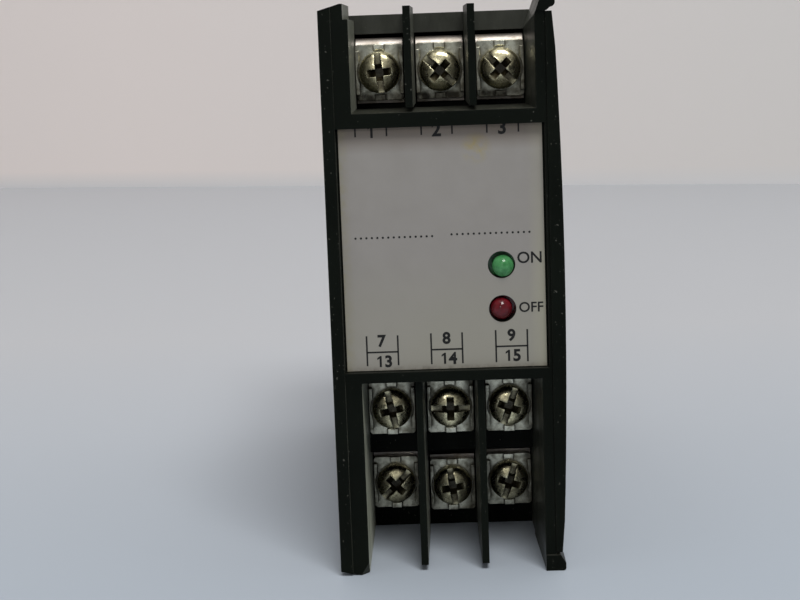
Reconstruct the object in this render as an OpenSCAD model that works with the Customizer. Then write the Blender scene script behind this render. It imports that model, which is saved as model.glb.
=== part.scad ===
// Protection relay for a 35 mm top-hat rail: moulded case, screw-clamp terminals, indicator lamps.
// Millimetres, +Z up, the front looks toward -Y, the origin is the middle of the footprint.

/* [Case] */
// overall width over the two side plates
case_w = 35.6; // [33.6:0.1:44]
// overall height of the side plates
case_h = 87.5; // [80:0.5:98]
// overall depth from the plates' front edges to the rear
case_d = 104; // [94:1:125]
// thickness of the left side plate
plate_t = 1.85; // [1.5:0.05:2.4]
// thickness of the side cover in its middle
cover_t = 2.15; // [1.9:0.05:2.6]
// wall thickness of the moulded body
shell_t = 2.0; // [1.6:0.1:2.4]
// how far the body's front faces lie behind the plates' front edges
face_y = 0.3; // [0.1:0.1:0.6]
// how far the body's roof lies below the tops of the side plates
roof_drop = 1.5; // [1:0.1:2.5]
// height of the bevel on top of the left plate
bevel_top_h = 0.95; // [0.4:0.05:1.6]
// width of that bevel
bevel_top_w = 3.25; // [1.5:0.05:3.5]
// height of the bevel under the left plate
bevel_low_h = 0.75; // [0.4:0.05:1.6]
// width of that bevel
bevel_low_w = 3.5; // [1.5:0.05:3.6]

/* [Front block] */
// height of the front block's lower face
block_lo = 30.4; // [29:0.1:32]
// height of the top terminal bay over the front block
top_bay = 16.2; // [15.5:0.1:18]
// depth of the label pocket behind the body's front face
pocket_d = 1.7; // [1:0.1:2.5]
// height of the rim left under the label
rim_lo = 1.6; // [1.2:0.1:3]
// height of the rim left over the label
rim_hi = 2.2; // [1.4:0.1:3]
// width of the left plate's edge beside the label
edge_w = 1.85; // [1.5:0.05:2.2]
// width of the rim right of the label
rim_side = 0.4; // [0.3:0.05:1.5]
// how far the label tucks under the upper rim
label_tuck = 0.6; // [0.3:0.1:0.8]
// room under the label in its pocket
label_play = 0.1; // [0.05:0.05:0.2]
// room on either side of the label in its pocket
label_side = 0.35; // [0.1:0.05:0.5]
// thickness of the label plate
label_t = 0.4; // [0.3:0.05:0.6]

/* [Indicator lamps] */
// distance of the lamps' holes from the middle
led_x = 8.36; // [2:0.02:10]
// height of the lower lamp's hole over the front block's lower face
led_up = 10.7; // [8:0.1:12]
// distance from one lamp's hole to the other
led_gap = 6.75; // [6:0.05:9]
// diameter of a lamp
led_d = 3.4; // [2.8:0.1:3.6]
// radial room round a lamp in its hole
led_room = 0.38; // [0.3:0.02:0.6]
// how far the green lamp sits right of its hole's middle
green_right = 0.22; // [0:0.02:0.24]
// how far the green lamp sits below its hole's middle
green_low = 0.26; // [0:0.02:0.26]
// how far the red lamp sits left of its hole's middle
red_left = 0.18; // [0:0.02:0.26]
// how far a lamp stands proud of the label
led_proud = 0.9; // [0.4:0.1:1.5]

/* [Terminal bays] */
// spacing of the terminals
pitch = 9.5; // [9.2:0.05:9.8]
// thickness of a dividing fin at its front edge
fin_t = 1.1; // [0.9:0.05:1.3]
// thickness of a dividing fin at its root
fin_root = 1.6; // [1.3:0.05:1.8]
// depth of the upper fins' front edges
fin_top_y = 1; // [0.5:0.5:10]
// depth of the lower fins' front edges
fin_low_y = 1.5; // [0.5:0.5:8]
// how far the upper fins stop short of the case's top
fin_short_top = 0.6; // [0.3:0.1:1.5]
// how far the lower fins stop short of the case's foot
fin_short_low = 1.0; // [0.3:0.05:1.5]
// gap between the upper fins and the front block under them
fin_gap = 0.65; // [0.3:0.05:1]
// width of the chamfer on the right bay wall's upper inner edge
wall_cut_w = 0.9; // [0.4:0.1:1.2]
// height of that chamfer
wall_cut_h = 2.5; // [1:0.1:4]
// width of the step on the left bay wall's upper inner edge
wall_step_w = 0.75; // [0.4:0.05:1]
// height of that step
wall_step_h = 2.3; // [1:0.1:4]
// how far the bays' outer walls reach inward
bay_draft = 0.3; // [0.1:0.05:0.4]
// how much the right bay wall opens toward the front
bay_open = 0.35; // [0.1:0.05:0.5]
// depth of the wall behind the top and upper lower terminals
tier_y = 19; // [18:0.5:24]
// extra depth of the wall behind the lowest terminals
tier_step = 7.5; // [6:0.5:9]
// height of the step between the two lower tiers
step_z = 14.9; // [14:0.1:15.5]
// distance of the top screws above the front block
top_up = 5.7; // [5.4:0.1:6.5]
// distance of the upper lower screws below the front block
tier_down = 7.6; // [7:0.1:7.9]
// height of the lowest screws
low_z = 8.2; // [7.6:0.1:8.6]
// how far terminal 14 sits below its neighbours
set_14 = 0.65; // [0:0.05:0.7]
// width of the broken corner at the left wall's foot
chip_w = 1.3; // [0.5:0.1:2]
// height of the broken corner
chip_h = 2.1; // [0.5:0.1:3]
// depth of the broken corner
chip_d = 1.6; // [0.5:0.1:3]

/* [Terminals] */
// thickness of a terminal strip
strip_t = 0.9; // [0.7:0.05:1.1]
// width of a terminal strip
strip_w = 7.5; // [6.8:0.1:7.6]
// inner radius of a strip's bend
bend_r = 0.8; // [0.5:0.1:1]
// reach of a lower strip below its screw
strip_reach = 4.5; // [4.2:0.1:4.7]
// reach of a top strip above its screw
top_reach = 5.4; // [4.6:0.1:5.6]
// reach of a strip toward the front block side of its screw
strip_back = 4.9; // [4.4:0.1:5]
// width of a strip's tail inside the case
tail_w = 3; // [2:0.1:4]
// depth at which the first tail ends
tail_end = 50; // [46:1:54]
// distance from one tail's end to the next
tail_stagger = 4; // [3:0.5:4]
// diameter of the screws' shanks
screw_d = 3.4; // [3:0.05:3.6]
// radial running room of a shank in its strip
thread_room = 0.05; // [0.03:0.01:0.08]
// radial room of a shank in the clamp washer and the wall
shank_room = 0.45; // [0.3:0.05:0.6]
// diameter of the screws' heads
head_d = 6.5; // [6:0.1:6.8]
// height of a screw head
head_h = 2.6; // [2.2:0.1:3]
// height of the straight rim under a screw head's round shoulder
head_rim = 0.9; // [0.7:0.1:1.3]
// radius of a screw head's crowned face
crown_r = 8; // [6:0.5:12]
// width of the driver slot
slot_w = 1.0; // [0.8:0.05:1.2]
// depth of the driver slot
slot_d = 1.1; // [0.9:0.1:1.3]
// length of the cross arms at the face
cross_l = 4.2; // [3.6:0.1:4.8]
// length of the cross arms at the bottom of the recess
cross_tip = 1.3; // [1:0.1:2]
// width of the cross arms
cross_w = 1.15; // [1.1:0.05:1.6]
// depth of the cross
cross_d = 2.1; // [1.6:0.1:2.2]
// length of a shank behind the head
shank_l = 9; // [8:0.5:10]
// width of a clamp washer
clamp_w = 7.5; // [6.6:0.1:7.6]
// height of a clamp washer
clamp_h = 8.8; // [8.2:0.1:9.2]
// cut of a clamp washer's corners
clamp_cut = 0.35; // [0.2:0.05:1]
// thickness of a clamp washer
clamp_t = 0.9; // [0.7:0.05:1.1]
// height of a clamp washer's middle rib
clamp_rib = 0.45; // [0.3:0.05:0.6]
// room left between a strip and its clamp washer
wire_gap = 0.4; // [0.3:0.05:0.8]
// room between a washer and the screw head on it
head_gap = 0.05; // [0.03:0.01:0.1]
// radial room round a screw head in its washer's rib
head_room = 0.3; // [0.2:0.05:0.4]
// room round a strip in the slot of its wall
slot_room = 0.15; // [0.1:0.05:0.3]

/* [Screw turns] */
// turn of screw 1 from upright, anticlockwise from the front
turn_1 = 5; // [-90:1:90]
// turn of screw 2
turn_2 = 47; // [-90:1:90]
// turn of screw 3
turn_3 = 44; // [-90:1:90]
// turn of screw 7
turn_7 = 12; // [-90:1:90]
// turn of screw 8
turn_8 = 90; // [-90:1:90]
// turn of screw 9
turn_9 = -20; // [-90:1:90]
// turn of screw 13
turn_13 = -45; // [-90:1:90]
// turn of screw 14
turn_14 = 8; // [-90:1:90]
// turn of screw 15
turn_15 = -18; // [-90:1:90]

/* [Side cover] */
// height of the housing's upper corner lug over the cover
lug_top_h = 2.0; // [1.8:0.1:3]
// height of the housing's lower corner lug under the cover
lug_low_h = 2.5; // [2:0.1:3]
// radius of the upper lug's round end
lug_r = 0.75; // [0.5:0.05:0.8]
// how far the lugs stay behind the cover's outer face
lug_in = 0.7; // [0.3:0.1:1]
// depth of the housing's corner lugs
lug_d = 5; // [4:0.5:8]
// gap between the lower lug and the cover
lug_gap = 0.45; // [0.3:0.05:0.7]
// gap between the upper lug and the cover
lug_room = 0.1; // [0.05:0.05:0.3]
// outward bow of the cover's outer face
cover_bow = 1.0; // [0.2:0.05:1.1]
// how far the cover's upper and lower outer edges are cut back
cover_nick = 0.2; // [0.1:0.05:0.3]
// height of the cover's lower edge behind the lug
cover_lo = 0.9; // [0.5:0.1:1.4]
// reach of the cover's locating ribs into the body
rib_l = 3; // [2:0.2:4]
// thickness of those ribs
rib_t = 1.4; // [1:0.1:2]
// room between those ribs and the body's walls
rib_room = 0.15; // [0.1:0.05:0.3]

/* [Rail clip] */
// width of the mounting rail
rail_w = 35; // [35:0.1:35.2]
// thickness of the rail's edges
rail_t = 1.0; // [0.8:0.1:1.3]
// room for the rail in its channel
rail_room = 0.3; // [0.2:0.05:0.5]
// depth of the rail channel
rail_d = 6; // [5:0.5:8]
// overlap of the fixed hook behind the rail
hook_over = 1.9; // [1.4:0.1:2.4]
// width of the rail latch
latch_w = 12; // [10:0.5:14]
// thickness of the rail latch
latch_t = 3.2; // [2.8:0.1:3.4]
// room between the latch and its guide
latch_room = 0.2; // [0.15:0.05:0.3]
// overlap of the latch behind the rail
latch_over = 2.2; // [1.6:0.1:2.6]
// height of the latch's lower end at rest
latch_lo = 4.6; // [4.2:0.1:5.5]
// length of the slope on the latch's nose
nose_l = 2.4; // [1.8:0.1:3]
// height of the spring post over the latch's lower end
post_up = 3.4; // [3:0.1:4]
// height of the spring post
post_h = 2; // [1.6:0.1:2.4]
// width of the spring post
post_w = 4; // [3.6:0.1:4.4]
// room between the spring post and the latch's window
post_room = 0.1; // [0.05:0.05:0.2]
// depth of the screwdriver groove at the latch's foot
grip_d = 1.2; // [0.8:0.1:1.4]
// width of that groove
grip_w = 6; // [4:0.5:8]
// height of the latch's bridge over its window
bridge_h = 5.5; // [5:0.1:6]
// mean radius of the latch spring
spring_r = 1.2; // [1:0.05:1.2]
// radius of the spring's wire
wire_r = 0.3; // [0.2:0.02:0.3]

/* [Inside] */
// thickness of the circuit board
pcb_t = 1.6; // [1.2:0.1:2]
// room between the circuit board and the side cover
pcb_off = 3.0; // [2.5:0.1:4]
// depth of the circuit board's main front edge
pcb_y = 34; // [32:1:38]
// room between the circuit board's edges and the strips' tails
pcb_room = 2.6; // [2:0.1:4]
// width and height of the transformer core
core_w = 24; // [20:0.5:26]
// length of the transformer core
core_l = 30; // [24:0.5:32]
// thickness of the transformer core
core_t = 12; // [9:0.5:13]
// width of the transformer core's limbs
limb_w = 4; // [3:0.2:5]
// room between the transformer and the wall behind it
core_room = 6; // [4:0.5:8]
// room between the coil and the core
coil_room = 0.2; // [0.1:0.05:0.4]
// overhang of the coil beside the core
coil_over = 4; // [3:0.2:4.4]
// length of the output relay
relay_l = 20; // [16:0.5:20]
// width of the output relay
relay_w = 15.5; // [10:0.5:16]
// height of the output relay
relay_h = 15; // [10:0.5:18]
// room between the output relay and the transformer
relay_gap = 8; // [4:0.5:10]
// diameter of the capacitor
cap_d = 10; // [6:0.5:10]
// length of the capacitor
cap_l = 15; // [10:0.5:20]
// diameter of the link wires
link_d = 1.0; // [0.8:0.1:1.2]
// diameter of the pegs that carry the circuit board
peg_d = 4.8; // [4:0.2:6]
// diameter of the pins through the circuit board
pin_d = 2.4; // [2:0.1:3]
// radial room of a pin in the circuit board
pin_room = 0.05; // [0.05:0.01:0.1]
// diameter of the lamps' leads
lead_d = 0.5; // [0.4:0.05:0.6]
// distance of a lamp's leads from its middle
lead_off = 0.9; // [0.6:0.1:1.2]
// depth at which the lamps' leads turn to the circuit board
lead_y = 13; // [11:0.5:16]

/* [Hidden] */
$fn = 48;
tiny = 0.01;
half_w = case_w / 2;
plate_left = half_w - plate_t;
plate_x = half_w - cover_t;
bay_x = (3 * pitch - fin_t) / 2;
bay_deep = bay_x - bay_draft;
bay_right = bay_x + bay_open;
roof_z = case_h - roof_drop;
block_hi = case_h - top_bay;
floor_y = face_y + pocket_d;
low_y = tier_y + tier_step;
seat_y = case_d - rail_d;
rail_z = case_h / 2;
channel_h = rail_w / 2 + rail_room;
lip_y = seat_y + rail_t + 2 * rail_room;
guide_y = lip_y - 0.2;
latch_y = guide_y + latch_room;
label_front = floor_y - label_t;
pocket_lo = block_lo + rim_lo;
pocket_hi = block_hi - rim_hi;
pocket_left = -half_w + edge_w;
pocket_x = plate_x - rim_side;
top_z = block_hi + top_up;
tier_z = block_lo - tier_down;
low_14 = low_z - set_14;
led_lo_z = block_lo + led_up;
led_hi_z = led_lo_z + led_gap;
pcb_lo = tier_z - strip_reach + strip_t + pcb_room;
pcb_hi = top_z + top_reach - strip_t - pcb_room;
pcb_mid = (pcb_lo + pcb_hi) / 2;
pcb_x = plate_x - pcb_off - pcb_t;
tail_y = tail_end + 2 * tail_stagger + 6;
cover_lo_front = lug_low_h + lug_gap;
cover_hi = case_h - lug_top_h - lug_room;
post_lo = latch_lo + post_up;
window_w = post_w + 3 * latch_room;
window_h = rail_z - channel_h + latch_over - bridge_h - post_lo;
core_y = seat_y - shell_t - core_room - core_w / 2;
coil_hw = core_w / 2 - limb_w - coil_room;
coil_window = (core_l - 4 * limb_w) / 2;
coil_hl = limb_w + coil_window - coil_room;

// helpers: everything is drawn from the plates' front edge, then centred in depth

module from_front() {
    translate([0, -case_d / 2, 0]) children();
}

module block(x0, x1, y0, y1, z0, z1) {
    translate([x0, y0, z0]) cube([x1 - x0, y1 - y0, z1 - z0]);
}

module side_slab(x0, x1) {
    translate([x0, 0, 0]) rotate([90, 0, 90]) linear_extrude(x1 - x0) children();
}

module front_slab(y0, y1) {
    translate([0, y1, 0]) rotate([90, 0, 0]) linear_extrude(y1 - y0) children();
}

module round_y(x, z, r, y0, y1) {
    translate([x, y0, z]) rotate([-90, 0, 0]) cylinder(r = r, h = y1 - y0);
}

module round_x(y, z, r, x0, x1) {
    translate([x0, y, z]) rotate([0, 90, 0]) cylinder(r = r, h = x1 - x0);
}

module round_z(x, y, r, z0, z1) {
    translate([x, y, z0]) cylinder(r = r, h = z1 - z0);
}

// housing

module body_outline() {
    polygon([
        [face_y, block_lo], [face_y, block_hi], [tier_y, block_hi], [tier_y, roof_z],
        [case_d, roof_z], [case_d, rail_z + channel_h - hook_over],
        [lip_y, rail_z + channel_h - hook_over], [lip_y, rail_z + channel_h],
        [seat_y, rail_z + channel_h], [seat_y, rail_z - channel_h],
        [case_d, rail_z - channel_h], [case_d, 0],
        [low_y, 0], [low_y, step_z], [tier_y, step_z], [tier_y, block_lo]
    ]);
}

module cavity_outline() {
    polygon([
        [floor_y + shell_t, block_lo + shell_t], [floor_y + shell_t, block_hi - shell_t],
        [tier_y + shell_t, block_hi - shell_t], [tier_y + shell_t, roof_z - shell_t],
        [case_d - shell_t, roof_z - shell_t], [case_d - shell_t, rail_z + channel_h + shell_t],
        [seat_y - shell_t, rail_z + channel_h + shell_t],
        [seat_y - shell_t, shell_t],
        [low_y + shell_t, shell_t], [low_y + shell_t, step_z + shell_t],
        [tier_y + shell_t, step_z + shell_t], [tier_y + shell_t, block_lo + shell_t]
    ]);
}

module plate_outline() {
    difference() {
        square([case_d, case_h]);
        translate([seat_y, rail_z - channel_h]) square([rail_d + 1, 2 * channel_h - hook_over]);
        translate([seat_y, rail_z]) square([lip_y - seat_y, channel_h]);
    }
}

module left_bevels() {
    for (end = [[case_h, bevel_top_h, bevel_top_w], [0, -bevel_low_h, bevel_low_w]]) {
        front_slab(-1, case_d + 1) polygon([
            [-half_w - 1, end[0] - end[1] * (1 + 1 / end[2])],
            [-half_w + end[2], end[0]],
            [-half_w + end[2], end[0] + sign(end[1])],
            [-half_w - 1, end[0] + sign(end[1])]
        ]);
    }
}

module bay_wall_plan(side, depth) {
    inner = side < 0 ? plate_left : plate_x;
    front = side < 0 ? bay_deep : bay_right;
    polygon([
        [side * inner, face_y], [side * front, face_y],
        [side * bay_deep, depth], [side * inner, depth]
    ]);
}

module fin_plan(front, depth) {
    polygon([
        [-fin_t / 2, front], [fin_t / 2, front], [fin_root / 2, depth], [-fin_root / 2, depth]
    ]);
}

module upright(z0, z1) {
    translate([0, 0, z0]) linear_extrude(z1 - z0) children();
}

module bay_walls() {
    for (side = [-1, 1]) {
        upright(block_hi - 1, case_h) bay_wall_plan(side, tier_y + tiny);
        upright(0, block_lo + 1) bay_wall_plan(side, tier_y + tiny);
        upright(0, step_z + 1) bay_wall_plan(side, low_y + tiny);
    }
    for (x = [-pitch / 2, pitch / 2]) {
        upright(block_hi + fin_gap, case_h - fin_short_top) translate([x, 0])
            fin_plan(fin_top_y, tier_y + tiny);
        upright(fin_short_low, block_lo + 1) translate([x, 0]) fin_plan(fin_low_y, tier_y + tiny);
        upright(fin_short_low, step_z + 1) translate([x, 0]) fin_plan(fin_low_y, low_y + tiny);
    }
}

// a chamfer on the right wall's upper inner edge, a step on the left wall's
module wall_cuts() {
    slope = wall_cut_h / wall_cut_w;
    front_slab(-1, tier_y) polygon([
        [bay_right - 1, case_h - wall_cut_h - slope],
        [bay_right + wall_cut_w + 1 / slope, case_h + 1],
        [bay_right - 1, case_h + 1]
    ]);
    block(-bay_deep - wall_step_w, -bay_deep + 1, -1, tier_y, case_h - wall_step_h, case_h + 1);
}

// a broken corner at the foot of the left wall
module corner_chip() {
    corner = [-bay_deep + tiny, face_y - tiny, -tiny];
    polyhedron(
        points = [corner, corner + [0, 0, chip_h], corner - [chip_w, 0, 0], corner + [0, chip_d, 0]],
        faces = [[0, 1, 2], [0, 2, 3], [0, 3, 1], [1, 3, 2]]
    );
}

module lugs() {
    out = half_w - lug_in;
    tip = out - lug_r;
    front_slab(0, lug_d) union() {
        translate([tip, case_h - lug_r - 0.05]) circle(r = lug_r);
        polygon([
            [bay_right, case_h], [tip, case_h - 0.05], [tip, case_h - 2 * lug_r - 0.05],
            [plate_x + 0.2, case_h - lug_top_h], [bay_right, case_h - lug_top_h]
        ]);
    }
    front_slab(0, lug_d) polygon([
        [bay_right, 0], [out - 0.3, 0], [out, 0.3], [out, 1.2], [out - 0.8, lug_low_h],
        [bay_right, lug_low_h]
    ]);
}

// openings of one terminal in the wall behind it: a slot for the bend and a hole for the shank
module terminal_holes(x, z, row_y, z0, z1) {
    block(x - strip_w / 2 - slot_room, x + strip_w / 2 + slot_room,
        row_y - 1, row_y + shell_t + 1, z + z0, z + z1);
    round_y(x, z, screw_d / 2 + shank_room, row_y - 1, row_y + shell_t + 1);
}

// behind the bays the left plate ends level with the roof
module roof_cut() {
    block(-half_w - 1, half_w + 1, tier_y, case_d + 1, roof_z, case_h + 1);
}

module label_pocket() {
    block(pocket_left, pocket_x, -1, floor_y, pocket_lo, pocket_hi);
    block(pocket_left, pocket_x, label_front - label_play, floor_y, pocket_hi - 1,
        pocket_hi + label_tuck + label_play);
    round_y(led_x, led_hi_z, led_d / 2 + led_room, floor_y - 1, floor_y + shell_t + 1);
    round_y(led_x, led_lo_z, led_d / 2 + led_room, floor_y - 1, floor_y + shell_t + 1);
}

module latch_guide() {
    side = latch_w / 2 + latch_room;
    difference() {
        block(-side, side, guide_y, case_d + 1, -1, rail_z - channel_h + 1);
        for (s = [-1, 1]) {
            block(min(s * (side - 1.2), s * (side + 1)), max(s * (side - 1.2), s * (side + 1)),
                latch_y + latch_t + latch_room, case_d, latch_lo, rail_z - channel_h);
        }
        block(-post_w / 2, post_w / 2, guide_y - 1, latch_y + latch_t - 0.4, post_lo, post_lo + post_h);
    }
}

module housing() {
    color([0.06, 0.07, 0.065]) from_front() {
        difference() {
            union() {
                difference() {
                    side_slab(-plate_left - tiny, plate_x) body_outline();
                    side_slab(-plate_left, plate_x + 1) cavity_outline();
                }
                side_slab(-half_w, -plate_left) plate_outline();
                bay_walls();
                lugs();
            }
            left_bevels();
            wall_cuts();
            corner_chip();
            roof_cut();
            label_pocket();
            for (x = [-pitch, 0, pitch]) {
                terminal_holes(x, top_z, tier_y, top_reach - 2, top_reach + 0.6);
                terminal_holes(x, tier_z, tier_y, -strip_reach - 0.3, -strip_reach + 2);
                terminal_holes(x, x == 0 ? low_14 : low_z, low_y, -strip_reach - 0.3, -strip_reach + 2);
            }
            latch_guide();
        }
    }
}

// side cover

module cover_section() {
    steps = 16;
    z0 = cover_lo_front;
    z1 = cover_hi;
    outer = [for (i = [0:steps]) let (u = 2 * i / steps - 1)
        [half_w - cover_bow * u * u - (i == 0 || i == steps ? cover_nick : 0), z0 + (z1 - z0) * i / steps]];
    polygon(concat([[plate_x + tiny, z0]], outer, [[plate_x + tiny, z1]]));
}

module board_posts() {
    for (y = [pcb_y + 5, seat_y - 9], z = [pcb_lo + 4, pcb_hi - 4]) {
        round_x(y, z, peg_d / 2, pcb_x + pcb_t, plate_x + 0.5);
        round_x(y, z, pin_d / 2, pcb_x - 1, plate_x + 0.5);
    }
}

module side_cover() {
    color([0.06, 0.07, 0.065]) from_front() {
        difference() {
            union() {
                front_slab(0, case_d) cover_section();
                block(plate_x + tiny, half_w - cover_bow - cover_nick, lug_d + lug_gap, case_d,
                    cover_lo, cover_lo_front + 1);
            }
            side_slab(plate_x - 1, half_w + 1) union() {
                translate([seat_y, rail_z - channel_h]) square([rail_d + 1, 2 * channel_h - hook_over]);
                translate([seat_y, rail_z]) square([lip_y - seat_y, channel_h]);
            }
        }
        block(plate_x - rib_l, plate_x + 0.5, pcb_y + 2, seat_y - 10,
            roof_z - shell_t - rib_room - rib_t, roof_z - shell_t - rib_room);
        block(plate_x - rib_l, plate_x + 0.5, seat_y - 20, seat_y - 4,
            shell_t + rib_room, shell_t + rib_room + rib_t);
        board_posts();
    }
}

// front label and lamps

module label_plate() {
    color([0.62, 0.61, 0.58]) from_front() difference() {
        block(pocket_left + label_side, pocket_x - label_side, label_front, floor_y,
            pocket_lo + label_play, pocket_hi + label_tuck);
        round_y(led_x, led_hi_z, led_d / 2 + led_room, label_front - 2, floor_y + 1);
        round_y(led_x, led_lo_z, led_d / 2 + led_room, label_front - 2, floor_y + 1);
    }
}

module lamp(x, z) {
    r = led_d / 2;
    tip = label_front - led_proud;
    back = floor_y + shell_t + 0.1;
    lead_r = lead_d / 2;
    from_front() union() {
        round_y(x, z, r, tip + r, back + 0.5);
        translate([x, tip + r, z]) sphere(r = r);
        round_y(x, z, r + led_room + 0.4, back, back + 1);
        for (side = [-1, 1]) {
            lead_z = z + side * lead_off;
            round_y(x, lead_z, lead_r, back, lead_y);
            translate([x, lead_y, lead_z]) sphere(r = lead_r);
            round_x(lead_y, lead_z, lead_r, x, pcb_x);
        }
    }
}

module led_green() {
    color([0.2, 0.6, 0.3]) lamp(led_x + green_right, led_hi_z - green_low);
}

module led_red() {
    color([0.4, 0.05, 0.05]) lamp(led_x - red_left, led_lo_z);
}

// terminals: a strip, a clamp washer and a screw in each cell

module strip_profile(front, end, reach, back, up) {
    r = bend_r;
    polygon_y = front + r + strip_t;
    mirror([0, up > 0 ? 0 : 1]) union() {
        translate([front, -back]) square([strip_t, back + reach - r - strip_t]);
        intersection() {
            difference() {
                translate([polygon_y, reach - r - strip_t]) circle(r = r + strip_t);
                translate([polygon_y, reach - r - strip_t]) circle(r = r);
            }
            translate([front, reach - r - strip_t]) square([r + strip_t, r + strip_t]);
        }
        translate([polygon_y, reach - strip_t]) square([end - polygon_y, strip_t]);
    }
}

module strip(x, z, row_y, end, up, reach) {
    front = row_y - strip_t;
    neck = row_y + shell_t + 3;
    color([0.75, 0.73, 0.68]) from_front() difference() {
        translate([x, 0, z]) side_slab(-strip_w / 2, strip_w / 2)
            strip_profile(front, end, reach, strip_back, up);
        round_y(x, z, screw_d / 2 + thread_room, front - 1, row_y + 1);
        for (s = [-1, 1]) {
            translate([x + s * (tail_w + strip_w) / 2, (neck + end + 1) / 2, z])
                cube([strip_w, end + 1 - neck, 2 * reach + 2], center = true);
        }
    }
}

module clamp(x, z, row_y) {
    back = row_y - strip_t - wire_gap;
    front = back - clamp_t;
    w = clamp_w / 2;
    h = clamp_h / 2;
    cut = clamp_cut;
    color([0.74, 0.73, 0.7]) from_front() translate([x, 0, z]) difference() {
        union() {
            front_slab(front, back) polygon([
                [-w, -h + cut], [-w + cut, -h], [w - cut, -h], [w, -h + cut],
                [w, h - cut], [w - cut, h], [-w + cut, h], [-w, h - cut]
            ]);
            block(-0.85, 0.85, front - clamp_rib, back, -h, h);
            for (s = [-1, 1]) {
                translate([s * (w - 0.3), 0, 0]) block(-0.3, 0.3, front - 0.8, back, -h + 1, h - 1);
            }
        }
        round_y(0, 0, screw_d / 2 + shank_room, front - 2, back + 1);
        round_y(0, 0, head_d / 2 + head_room, front - clamp_rib - 1, front);
    }
}

// half section of a pan head: straight rim, round shoulder, crowned face
module head_section() {
    rim = head_d / 2;
    shoulder = head_h - head_rim;
    intersection() {
        square([rim, head_h]);
        translate([0, head_h - crown_r]) circle(r = crown_r);
        union() {
            square([rim, head_rim]);
            square([rim - shoulder, head_h]);
            translate([rim - shoulder, head_rim]) circle(r = shoulder);
        }
    }
}

// slot right across the head and a tapered cross at its middle
module driver_recess() {
    slope = (cross_l - cross_tip) / 2 / cross_d;
    block(-slot_w / 2, slot_w / 2, -head_h - 1, -head_h + slot_d, -head_d, head_d);
    for (turn = [0, 90]) {
        rotate([0, turn, 0]) side_slab(-cross_w / 2, cross_w / 2) polygon([
            [-head_h - 1, -cross_l / 2 - slope], [-head_h + cross_d, -cross_tip / 2],
            [-head_h + cross_d, cross_tip / 2], [-head_h - 1, cross_l / 2 + slope]
        ]);
    }
}

module screw(x, z, row_y, turn) {
    seat = row_y - strip_t - wire_gap - clamp_t - head_gap;
    color([0.7, 0.68, 0.6]) from_front() translate([x, seat, z]) rotate([0, -turn, 0]) difference() {
        union() {
            rotate([90, 0, 0]) rotate_extrude() head_section();
            round_y(0, 0, screw_d / 2, -0.1, shank_l);
        }
        driver_recess();
    }
}

module strip_1() { strip(-pitch, top_z, tier_y, tail_end, 1, top_reach); }
module strip_2() { strip(0, top_z, tier_y, tail_end + tail_stagger, 1, top_reach); }
module strip_3() { strip(pitch, top_z, tier_y, tail_end + 2 * tail_stagger, 1, top_reach); }
module strip_7() { strip(-pitch, tier_z, tier_y, tail_end, -1, strip_reach); }
module strip_8() { strip(0, tier_z, tier_y, tail_end + tail_stagger, -1, strip_reach); }
module strip_9() { strip(pitch, tier_z, tier_y, tail_end + 2 * tail_stagger, -1, strip_reach); }
module strip_13() { strip(-pitch, low_z, low_y, tail_y, -1, strip_reach); }
module strip_14() { strip(0, low_14, low_y, tail_y + tail_stagger, -1, strip_reach); }
module strip_15() { strip(pitch, low_z, low_y, tail_y + 2 * tail_stagger, -1, strip_reach); }
module clamp_1() { clamp(-pitch, top_z, tier_y); }
module clamp_2() { clamp(0, top_z, tier_y); }
module clamp_3() { clamp(pitch, top_z, tier_y); }
module clamp_7() { clamp(-pitch, tier_z, tier_y); }
module clamp_8() { clamp(0, tier_z, tier_y); }
module clamp_9() { clamp(pitch, tier_z, tier_y); }
module clamp_13() { clamp(-pitch, low_z, low_y); }
module clamp_14() { clamp(0, low_14, low_y); }
module clamp_15() { clamp(pitch, low_z, low_y); }
module screw_1() { screw(-pitch, top_z, tier_y, turn_1); }
module screw_2() { screw(0, top_z, tier_y, turn_2); }
module screw_3() { screw(pitch, top_z, tier_y, turn_3); }
module screw_7() { screw(-pitch, tier_z, tier_y, turn_7); }
module screw_8() { screw(0, tier_z, tier_y, turn_8); }
module screw_9() { screw(pitch, tier_z, tier_y, turn_9); }
module screw_13() { screw(-pitch, low_z, low_y, turn_13); }
module screw_14() { screw(0, low_14, low_y, turn_14); }
module screw_15() { screw(pitch, low_z, low_y, turn_15); }

// circuit inside the case

module pcb() {
    color([0.1, 0.3, 0.15]) from_front() difference() {
        side_slab(pcb_x, pcb_x + pcb_t) polygon([
            [pcb_y, pcb_lo], [seat_y - 4, pcb_lo], [seat_y - 4, pcb_hi], [pcb_y, pcb_hi],
            [pcb_y, block_hi - 5], [9, block_hi - 5], [9, block_lo + 5], [pcb_y, block_lo + 5]
        ]);
        for (y = [pcb_y + 5, seat_y - 9], z = [pcb_lo + 4, pcb_hi - 4]) {
            round_x(y, z, pin_d / 2 + pin_room, pcb_x - 1, pcb_x + pcb_t + 1);
        }
    }
}

module transformer_core() {
    color([0.35, 0.35, 0.36]) from_front() side_slab(-core_t / 2, core_t / 2) difference() {
        translate([core_y - core_w / 2, pcb_mid - core_l / 2]) square([core_w, core_l]);
        for (s = [-1, 1]) {
            translate([core_y, pcb_mid + s * (limb_w + coil_window / 2)])
                square([core_w - 2 * limb_w, coil_window], center = true);
        }
    }
}

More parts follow.
